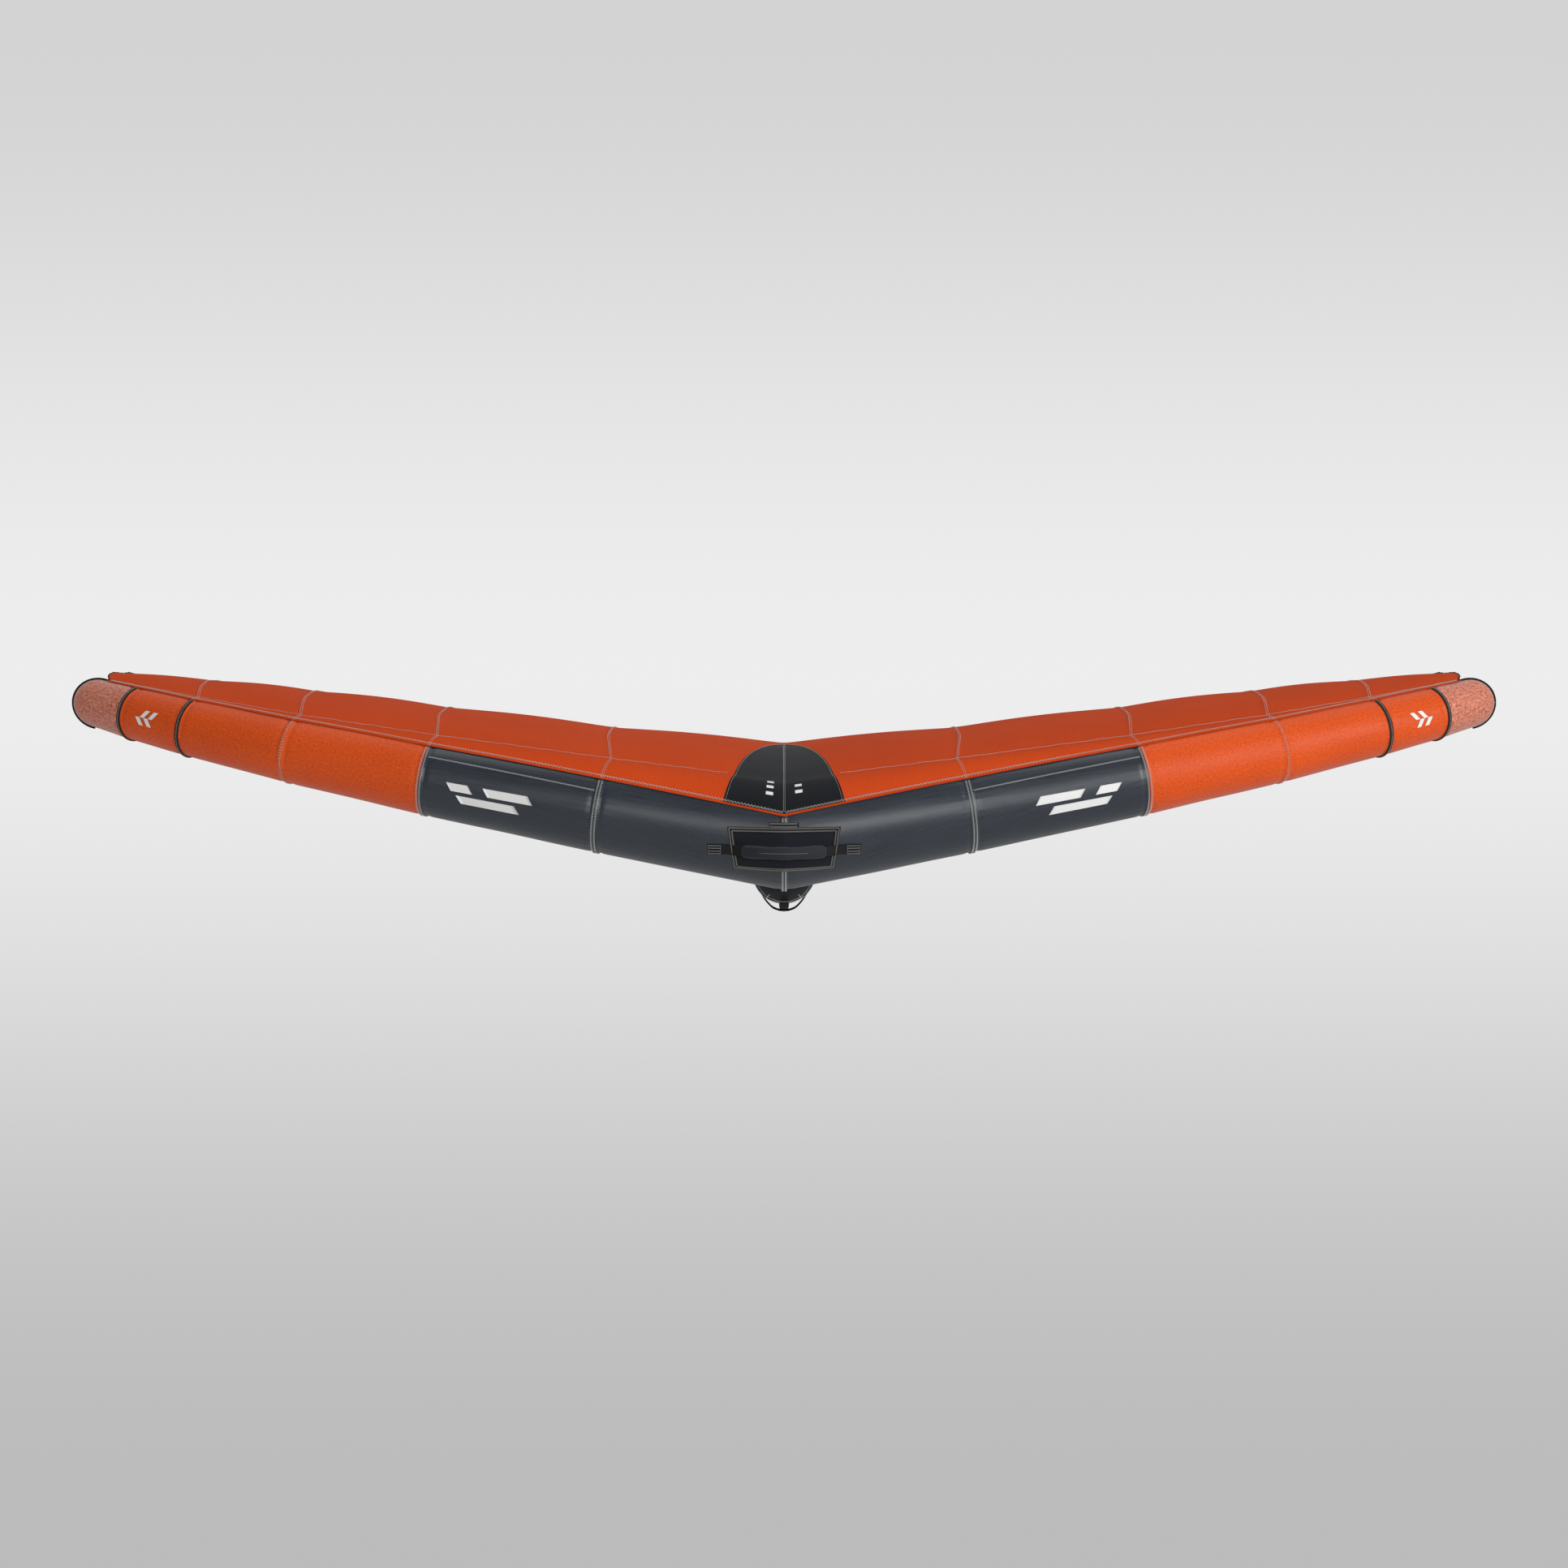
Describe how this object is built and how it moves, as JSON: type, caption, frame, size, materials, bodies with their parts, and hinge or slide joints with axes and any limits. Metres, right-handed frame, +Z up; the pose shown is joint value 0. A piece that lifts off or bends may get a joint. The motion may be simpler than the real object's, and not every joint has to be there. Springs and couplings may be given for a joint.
{
  "type": "hand-held inflatable wing",
  "caption": "Hand-held inflatable wing with a V-shaped leading-edge tube, a centre strut with soft handles, and a cambered fabric canopy.",
  "frame": {"origin": "middle of the front handle's grip, where the wing is held", "axes": "+X to the right wing tip, +Y aft along the strut, +Z up; the nose points to -Y"},
  "size_m": [3.043, 2.2235, 0.51],
  "materials": {
    "dark_dacron": "woven dacron, charcoal navy, slight sheen",
    "orange_dacron": "woven dacron, bright orange, slight sheen",
    "orange_ripstop": "light ripstop canopy cloth, orange",
    "strut_dacron": "woven dacron, near black",
    "patch_fabric": "coated reinforcement cloth, near black",
    "binding_tape": "woven edge tape, dark",
    "webbing": "black webbing",
    "pad_foam": "textured neoprene-faced pad, blue black",
    "grip_sleeve": "soft black grip sleeve",
    "wear_cap": "black rubberised wear cap",
    "bladder_film": "translucent film",
    "valve_plastic": "black moulded plastic",
    "zip_coil": "black coil zip tape",
    "slider_metal": "black enamelled slider"
  },
  "bodies": {
    "wing": {"canopy_centre_left": "orange_ripstop", "canopy_centre_right": "orange_ripstop", "canopy_inner_left": "orange_ripstop", "canopy_inner_right": "orange_ripstop", "canopy_middle_left": "orange_ripstop", "canopy_middle_right": "orange_ripstop", "canopy_outer_left": "orange_ripstop", "canopy_outer_right": "orange_ripstop", "canopy_tip_left": "orange_ripstop", "canopy_tip_right": "orange_ripstop", "front_handle_anchors": "webbing", "leading_edge_band_panel_left": "orange_dacron", "leading_edge_band_panel_right": "orange_dacron", "leading_edge_bladder": "bladder_film", "leading_edge_centre_panel_left": "dark_dacron", "leading_edge_centre_panel_right": "dark_dacron", "leading_edge_dark_panel_left": "dark_dacron", "leading_edge_dark_panel_right": "dark_dacron", "leading_edge_inner_panel_left": "orange_dacron", "leading_edge_inner_panel_right": "orange_dacron", "leading_edge_middle_panel_left": "orange_dacron", "leading_edge_middle_panel_right": "orange_dacron", "leading_edge_tip_panel_left": "orange_dacron", "leading_edge_tip_panel_right": "orange_dacron", "leash_loop": "webbing", "nose_handle_anchors": "webbing", "nose_handle_binding": "webbing", "nose_handle_pad": "pad_foam", "nose_patch": "patch_fabric", "profile_rib": "strut_dacron", "rear_handle_anchors": "webbing", "seam_band_inner_left": "binding_tape", "seam_band_inner_right": "binding_tape", "seam_band_outer_left": "binding_tape", "seam_band_outer_right": "binding_tape", "strut_bladder": "bladder_film", "strut_casing": "strut_dacron", "strut_tail_cap": "wear_cap", "tip_piping_left": "binding_tape", "tip_piping_right": "binding_tape", "trailing_edge_tape_left": "binding_tape", "trailing_edge_tape_right": "binding_tape", "valve_body": "valve_plastic", "valve_flange": "valve_plastic", "zip_tape": "zip_coil"},
    "nose_handle": {"nose_handle_grip": "grip_sleeve", "nose_handle_webbing": "webbing"},
    "front_handle": {"front_handle_grip": "grip_sleeve", "front_handle_core": "webbing", "front_handle_straps": "webbing"},
    "rear_handle": {"rear_handle_grip": "grip_sleeve", "rear_handle_core": "webbing", "rear_handle_straps": "webbing"},
    "valve_cap": {"valve_cap": "valve_plastic"},
    "zip_slider": {"zip_slider": "slider_metal"}
  },
  "joints": [
    {"name": "nose_handle_flip", "type": "hinge", "parent": "wing", "child": "nose_handle", "pos_m": [0, -0.65586, 0.184], "axis": [1, 0, 0], "range_deg": [-18, 18]},
    {"name": "front_handle_swing", "type": "hinge", "parent": "wing", "child": "front_handle", "pos_m": [0, 0, 0.12251], "axis": [0, 1, 0.0085], "range_deg": [-15, 15]},
    {"name": "rear_handle_swing", "type": "hinge", "parent": "wing", "child": "rear_handle", "pos_m": [0, 0.62, 0.12777], "axis": [0, 1, 0.0085], "range_deg": [-15, 15]},
    {"name": "valve_cap_hinge", "type": "hinge", "parent": "wing", "child": "valve_cap", "pos_m": [-0.24812, -0.42885, 0.17154], "axis": [0.1988, 0.566, 0.8001], "range_deg": [0, 150]},
    {"name": "zip_slide", "type": "slide", "parent": "wing", "child": "zip_slider", "axis": [0.9837, 0.1009, 0.1489], "range_m": [0, 0.16]}
  ]
}
